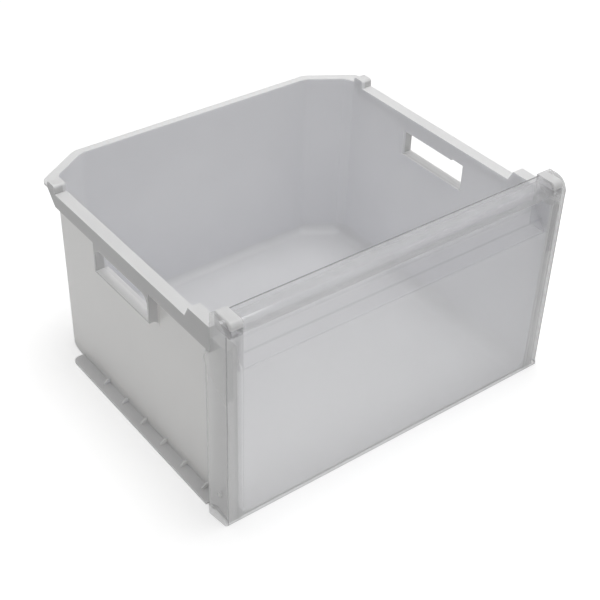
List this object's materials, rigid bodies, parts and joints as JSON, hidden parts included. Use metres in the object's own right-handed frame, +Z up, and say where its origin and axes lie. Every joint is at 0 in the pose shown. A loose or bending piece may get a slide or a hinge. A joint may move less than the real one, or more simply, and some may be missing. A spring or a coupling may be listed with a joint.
{
  "type": "freezer drawer",
  "caption": "White translucent freezer drawer with hand slots in its side walls and a clear front with a full-width grip.",
  "frame": {"origin": "on the surface the drawer stands on, under the middle of its bounding box", "axes": "+X to the right seen from the front, +Y from the clear front to the rear wall, +Z up"},
  "size_m": [0.4462, 0.385, 0.255],
  "materials": {
    "tub_plastic": "satin, slightly translucent",
    "clear_plastic": "clear moulded plastic"
  },
  "bodies": {
    "root": {"tub": "tub_plastic", "front_panel": "clear_plastic"}
  },
  "joints": []
}
